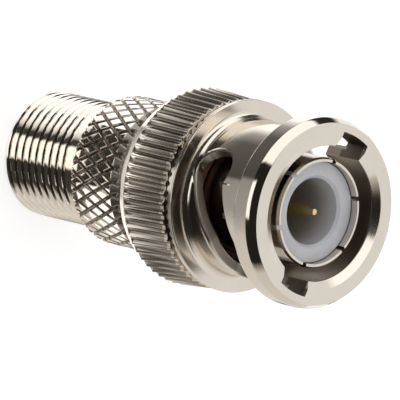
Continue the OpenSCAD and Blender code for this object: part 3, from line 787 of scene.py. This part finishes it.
def floor():
    """Plain white floor that keeps the shadow: a pale diffuse ground, lifted to white where it is looked at."""
    columns = 64
    a = np.arange(columns) * TAU / columns
    r = np.array([0.0001, 3000.0])[:, None]
    points = np.stack([r * np.cos(a), r * np.sin(a), np.full((2, columns), -LAYER)], -1).reshape(-1, 3)
    ground = solid("floor", points, grid_faces(2, columns, loop_rows=False)[:, ::-1])
    made = bpy.data.materials.new("floor_white")
    b = new_board(made)
    lit = b.node("ShaderNodeBsdfDiffuse", None, {"Color": colour(FLOOR_TONE, FLOOR_TONE, FLOOR_TONE)})
    glow = b.node("ShaderNodeEmission", None, {"Strength": shown_white(b, FLOOR_GLOW)})
    both = b.node("ShaderNodeAddShader", None, {0: lit, 1: glow})
    b.node("ShaderNodeOutputMaterial", None, {"Surface": both})
    ground.data.materials.append(made)


def card(name, r, z, stops, pinch=1.0):
    """Studio card seen only in reflections: a line of (r, z) points swept round the axis.

    stops are rows of (angle from the camera's side, brightness, warmth); the tint between two rows changes
    evenly, so a soft edge is two rows a few degrees apart. pinch scales the angles on the line's first ring.
    """
    angle, bright, warm = np.array(stops, float).T
    along = np.linspace(angle[0], angle[-1] - 0.01, int(angle[-1] - angle[0]) + 1)
    r, z = np.array(r, float)[:, None], np.array(z, float)[:, None]
    a = FRONT + np.radians(along) * np.linspace(pinch, 1, len(r))[:, None]
    points = np.stack([r * np.cos(a), r * np.sin(a), np.repeat(z, len(along), 1)], -1)
    sheet = solid(name, points.reshape(-1, 3), grid_faces(*points.shape[:2], loop_rows=False, loop_columns=False))
    loss = np.interp(along, angle, warm)[:, None] * np.array([0, 0.4, 1, 0])
    tint = np.interp(along, angle, bright)[:, None] * (1 - loss)
    tints = sheet.data.color_attributes.new("tint", "FLOAT_COLOR", "POINT")
    tints.data.foreach_set("color", np.tile(tint, (len(r), 1)).ravel())
    made = bpy.data.materials.new(name)
    b = new_board(made)
    glow = b.node("ShaderNodeEmission", None, {"Color": b.node("ShaderNodeAttribute", {"attribute_name": "tint"})})
    b.node("ShaderNodeOutputMaterial", None, {"Surface": glow})
    sheet.data.materials.append(made)
    sheet.visible_camera = sheet.visible_diffuse = sheet.visible_shadow = False
    sheet.visible_transmission = False


floor()

# Rings on the floor, each mirrored by one part of the adapter, from the barrel's foot to the sleeve
card("barrel_card", (4.9, 7, 10, 14), (LAYER,) * 4,
     [(-180, 0.1, 0.1), (-134, 0.12, 0.1), (-124, 1.6, 0.02), (-50, 1.6, 0.02), (-34, 0.9, 0.05),
      (-27, 0.06, 0.2), (-19, 0.06, 0.2), (-15, 1.6, 0.12), (15, 1.6, 0.12), (20, 0.05, 0.2), (55, 0.06, 0.2),
      (66, 0.75, 0.12), (128, 0.85, 0.10), (145, 0.12, 0.1), (180, 0.1, 0.1)], 0.7)
card("grip_card", (14, 20.8), (LAYER,) * 2,
     [(-180, 0.1, 0.1), (-130, 0.3, 0.1), (-114, 1.8, 0.0), (-53, 1.8, 0.0), (-49, 0.04, 0.2), (28, 0.04, 0.2),
      (34, 1.8, 0.0), (105, 1.7, 0.0), (122, 0.3, 0.1), (180, 0.1, 0.1)])
card("band_card", (20.8, 22.5), (LAYER,) * 2,
     [(-180, 0.2, 0.1), (-100, 1.0, 0.03), (140, 1.0, 0.03), (180, 0.2, 0.1)])
card("knurl_card", (22.5, 27), (LAYER,) * 2,
     [(-180, 0.1, 0.1), (-150, 0.12, 0.1), (-135, 1.3, 0.02), (-95, 1.3, 0.02), (-66, 0.4, 0.05),
      (-40, 0.1, 0.1), (-16, 0.08, 0.1), (-9, 1.2, 0.05), (9, 1.2, 0.05), (16, 0.08, 0.1), (55, 0.14, 0.1),
      (90, 0.8, 0.1), (140, 0.8, 0.1), (155, 0.12, 0.1), (180, 0.1, 0.1)])
card("sleeve_card", (27, 46), (LAYER,) * 2,
     [(-180, 0.2, 0.1), (-165, 0.2, 0.1), (-155, 1.4, 0.0), (-112, 1.4, 0.0), (-95, 0.45, 0.05),
      (-74, 0.13, 0.1), (-22, 0.09, 0.1), (-17, 0.36, 0.05), (20, 0.44, 0.05), (45, 0.75, 0.1), (140, 0.85, 0.1),
      (155, 0.2, 0.1), (180, 0.2, 0.1)])

# Far floor, walls and ceiling on the camera's side, mirrored by the rim, the bevel and the fillets
card("front_floor", (46, 120, 120), (LAYER, LAYER, 30),
     [(-130, 0.9, 0.1), (-125, 0.03, 0.1), (-108, 0.03, 0.1), (-104, 1.4, 0.02), (-40, 1.4, 0.02),
      (-37, 0.02, 0.2), (-19, 0.02, 0.2), (-16, 1.4, 0.02), (19, 1.4, 0.02), (22, 0.02, 0.2), (66, 0.02, 0.2),
      (78, 0.75, 0.1), (140, 0.85, 0.1)])
card("low_wall", (120, 120), (30, 74),
     [(-130, 0.9, 0.1), (-125, 0.03, 0.1), (-108, 0.03, 0.1), (-104, 1.4, 0.02), (-40, 1.4, 0.02),
      (-37, 0.02, 0.2), (66, 0.02, 0.2), (78, 0.75, 0.1), (140, 0.85, 0.1)])
card("camera_side", (120, 104), (74, 122),
     [(-132, 0.9, 0.05), (-126, 1.4, 0.0), (-88, 1.4, 0.0), (-83, 0.02, 0.2), (72, 0.02, 0.2), (88, 0.7, 0.1)])
card("overhead", (104, 64, 0.1), (122, 156, 168),
     [(-132, 0.9, 0.05), (-126, 1.4, 0.0), (-80, 1.4, 0.0), (-74, 0.02, 0.2), (98, 0.02, 0.2), (112, 0.7, 0.1)])

world = bpy.data.worlds.new("tent")
bpy.context.scene.world = world
board = new_board(world)
sky = board.node("ShaderNodeBackground", None, {"Color": colour(1, 1, 1), "Strength": TENT})
board.node("ShaderNodeOutputWorld", None, {"Surface": sky})

# Key lamp, aimed at the part's foot
lamp = bpy.data.objects.new("key", bpy.data.lights.new("key", "AREA"))
lamp.data.size, lamp.data.energy = 0.25, 0.12
lamp.location = (-0.10, 0.22, 0.30)
lamp.rotation_euler = (-lamp.location).to_track_quat("-Z", "Y").to_euler()
bpy.context.scene.collection.objects.link(lamp)

bpy.context.scene.view_settings.view_transform = "Standard"
